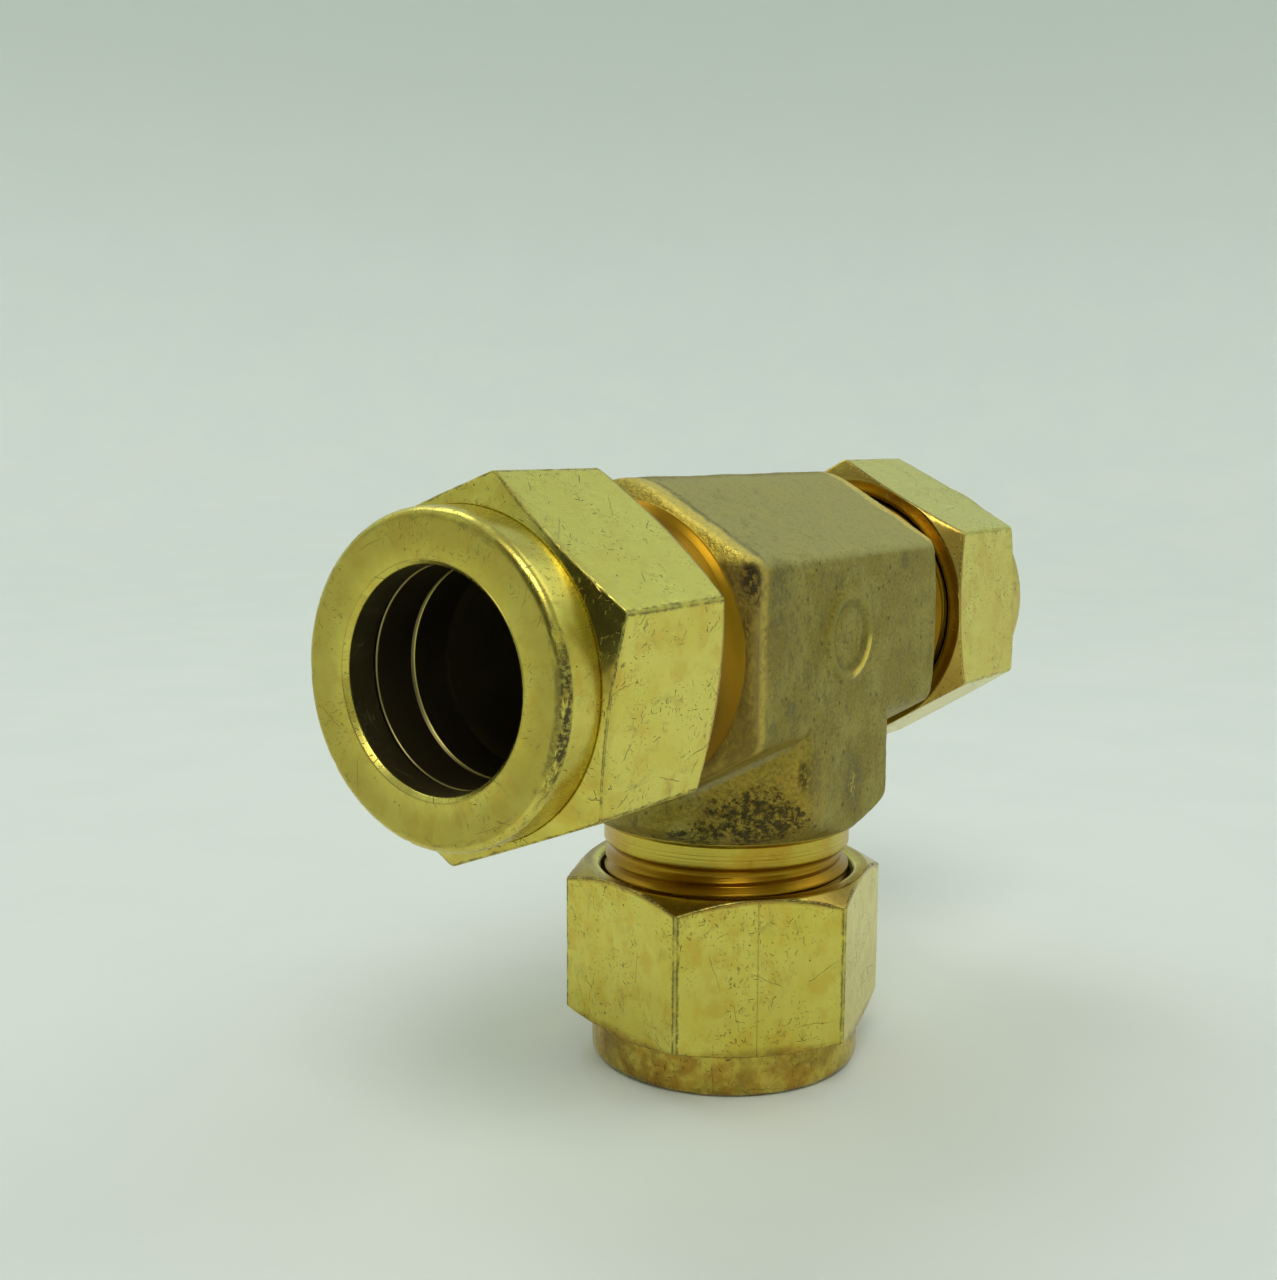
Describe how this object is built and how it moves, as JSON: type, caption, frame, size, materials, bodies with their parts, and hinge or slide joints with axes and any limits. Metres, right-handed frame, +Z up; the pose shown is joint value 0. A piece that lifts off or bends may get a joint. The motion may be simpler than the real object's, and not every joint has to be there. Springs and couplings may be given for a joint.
{
  "type": "compression tube fitting",
  "caption": "Brass union tee compression fitting: forged body with hexagonal tube nuts over front and back ferrules.",
  "frame": {"origin": "centre of the branch nut's end face, on which the tee stands; the middle of the bounding box's underside", "axes": "+Z up along the branch, from its nut towards the run; X along the run, with nut_left towards -X; the parting plane is y = 0"},
  "size_m": [0.0776, 0.0284, 0.0535],
  "materials": {
    "forged_brass": "matt, sand-textured forging, mottled with dark tarnish",
    "machined_brass": "satin machined, fine scratches and small dark specks",
    "ferrule_brass": "smooth turned"
  },
  "bodies": {
    "tee_body": {"tee_body": "forged_brass"},
    "ferrules_left": {"front_ferrule_left": "ferrule_brass", "back_ferrule_left": "ferrule_brass"},
    "ferrules_right": {"front_ferrule_right": "ferrule_brass", "back_ferrule_right": "ferrule_brass"},
    "ferrules_branch": {"front_ferrule_branch": "ferrule_brass", "back_ferrule_branch": "ferrule_brass"},
    "nut_left": {"nut_left": "machined_brass"},
    "nut_right": {"nut_right": "machined_brass"},
    "nut_branch": {"nut_branch": "machined_brass"}
  },
  "joints": [
    {"name": "nut_left_travel", "type": "slide", "parent": "tee_body", "child": "ferrules_left", "axis": [-1, 0, 0], "range_m": [0, 0.00762]},
    {"name": "nut_left_turn", "type": "hinge", "parent": "ferrules_left", "child": "nut_left", "pos_m": [-0.0388, 0, 0.0388], "axis": [-1, 0, 0], "range_deg": [0, 2160]},
    {"name": "nut_right_travel", "type": "slide", "parent": "tee_body", "child": "ferrules_right", "axis": [1, 0, 0], "range_m": [0, 0.00762]},
    {"name": "nut_right_turn", "type": "hinge", "parent": "ferrules_right", "child": "nut_right", "pos_m": [0.0388, 0, 0.0388], "axis": [1, 0, 0], "range_deg": [0, 2160]},
    {"name": "nut_branch_travel", "type": "slide", "parent": "tee_body", "child": "ferrules_branch", "axis": [0, 0, -1], "range_m": [0, 0.00762]},
    {"name": "nut_branch_turn", "type": "hinge", "parent": "ferrules_branch", "child": "nut_branch", "pos_m": [0, 0, 0], "axis": [0, 0, -1], "range_deg": [0, 2160]}
  ],
  "couplings": [
    {"joint": "nut_left_travel", "follows": "nut_left_turn", "m_per_rad": 0.00020213},
    {"joint": "nut_right_travel", "follows": "nut_right_turn", "m_per_rad": 0.00020213},
    {"joint": "nut_branch_travel", "follows": "nut_branch_turn", "m_per_rad": 0.00020213}
  ]
}
